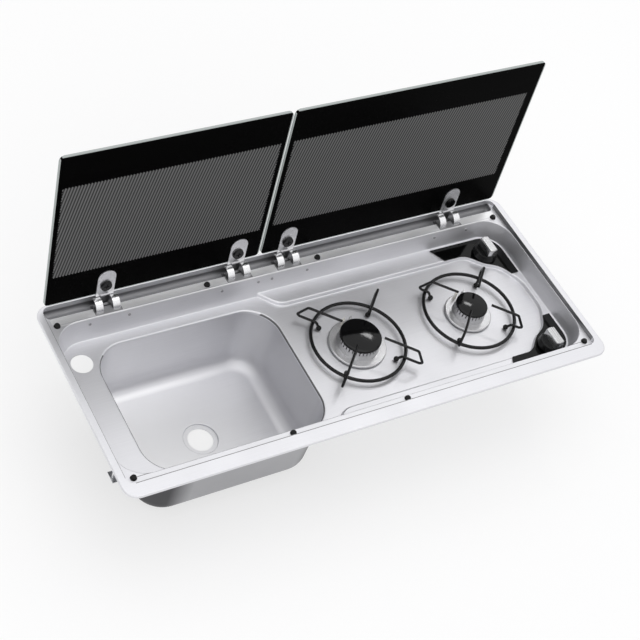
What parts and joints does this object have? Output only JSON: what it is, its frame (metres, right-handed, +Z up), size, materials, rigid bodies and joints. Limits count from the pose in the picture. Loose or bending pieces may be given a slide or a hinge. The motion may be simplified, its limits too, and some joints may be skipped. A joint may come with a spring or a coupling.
{
  "type": "sink and gas hob combination with glass lids",
  "caption": "Drop-in camper sink and gas hob pressed in one steel top, with hinged dark glass lids, wire pan supports and push-and-turn knobs.",
  "frame": {"origin": "centre of the rim, in the plane of the worktop that the rim rests on", "axes": "+X from the bowl to the hob along the length, +Y from the front edge to the hinges, +Z up out of the worktop"},
  "size_m": [0.9, 0.3886, 0.4979],
  "materials": {
    "pressed_steel": "brushed satin",
    "seal_rubber": "matt",
    "buffer_rubber": "matt",
    "pad_rubber": "matt",
    "zinc_steel": "zinc plated",
    "screw_steel": "plain",
    "hinge_steel": "satin",
    "glass_dark": "black printed underside, clear edge",
    "cap_plastic": "matt",
    "burner_aluminium": "cast, satin",
    "burner_cup_metal": "cast",
    "black_enamel": "gloss enamel",
    "support_enamel": "satin enamel",
    "foot_rubber": "matt",
    "gas_brass": "machined",
    "gas_pipe_metal": "drawn",
    "ceramic_white": "glazed ceramic",
    "sensor_steel": "plain",
    "panel_gloss": "gloss black",
    "knob_black": "satin",
    "knob_silver": "satin metal",
    "spindle_steel": "turned"
  },
  "bodies": {
    "sink": {"box_screws": "screw_steel", "box_spacers": "zinc_steel", "burner_base_left": "burner_aluminium", "burner_base_right": "burner_aluminium", "burner_box": "zinc_steel", "burner_cap_left": "black_enamel", "burner_cap_right": "black_enamel", "burner_crown_left": "burner_aluminium", "burner_crown_right": "burner_aluminium", "burner_cup_left": "burner_cup_metal", "burner_cup_right": "burner_cup_metal", "clip_screws": "screw_steel", "control_panel_front": "panel_gloss", "control_panel_rear": "panel_gloss", "flame_sensor_left": "sensor_steel", "flame_sensor_right": "sensor_steel", "gas_inlet": "gas_brass", "gas_pipe_left": "gas_pipe_metal", "gas_pipe_right": "gas_pipe_metal", "gas_rail": "gas_pipe_metal", "gas_valve_front": "gas_brass", "gas_valve_rear": "gas_brass", "hinge_backing_plates": "zinc_steel", "hinge_pins": "hinge_steel", "hinge_rivets": "screw_steel", "hinge_saddles": "hinge_steel", "igniter_left": "ceramic_white", "igniter_right": "ceramic_white", "injector_left": "gas_brass", "injector_right": "gas_brass", "lid_buffers": "buffer_rubber", "pan_feet_left": "foot_rubber", "pan_feet_right": "foot_rubber", "pan_support_left": "support_enamel", "pan_support_right": "support_enamel", "rim_clips": "zinc_steel", "rim_seal": "seal_rubber", "sink_top": "pressed_steel"},
    "lid_left": {"hinge_leaves_left": "hinge_steel", "hinge_pads_left": "pad_rubber", "lid_back_discs_left": "hinge_steel", "lid_glass_left": "glass_dark", "lid_screws_left": "cap_plastic"},
    "lid_right": {"hinge_leaves_right": "hinge_steel", "hinge_pads_right": "pad_rubber", "lid_back_discs_right": "hinge_steel", "lid_glass_right": "glass_dark", "lid_screws_right": "cap_plastic"},
    "plunger_front": {"valve_plunger_front": "spindle_steel"},
    "knob_front": {"knob_skirt_front": "knob_black", "knob_grip_front": "knob_silver", "valve_spindle_front": "spindle_steel"},
    "plunger_rear": {"valve_plunger_rear": "spindle_steel"},
    "knob_rear": {"knob_skirt_rear": "knob_black", "knob_grip_rear": "knob_silver", "valve_spindle_rear": "spindle_steel"}
  },
  "joints": [
    {"name": "lid_left_close", "type": "hinge", "parent": "sink", "child": "lid_left", "pos_m": [0, 0.167, -0.006], "axis": [1, 0, 0], "range_deg": [0, 94.7]},
    {"name": "lid_right_close", "type": "hinge", "parent": "sink", "child": "lid_right", "pos_m": [0, 0.167, -0.006], "axis": [1, 0, 0], "range_deg": [0, 94.7]},
    {"name": "knob_front_push", "type": "slide", "parent": "sink", "child": "plunger_front", "axis": [0, 0, -1], "range_m": [0, 0.003], "stiffness_N_per_m": 500, "springref_m": -0.003},
    {"name": "knob_front_turn", "type": "hinge", "parent": "plunger_front", "child": "knob_front", "pos_m": [0.3835, -0.1193, -0.02], "axis": [0, 0, 1], "range_deg": [0, 200]},
    {"name": "knob_rear_push", "type": "slide", "parent": "sink", "child": "plunger_rear", "axis": [0, 0, -1], "range_m": [0, 0.003], "stiffness_N_per_m": 500, "springref_m": -0.003},
    {"name": "knob_rear_turn", "type": "hinge", "parent": "plunger_rear", "child": "knob_rear", "pos_m": [0.3835, 0.0947, -0.02], "axis": [0, 0, 1], "range_deg": [0, 200]}
  ]
}
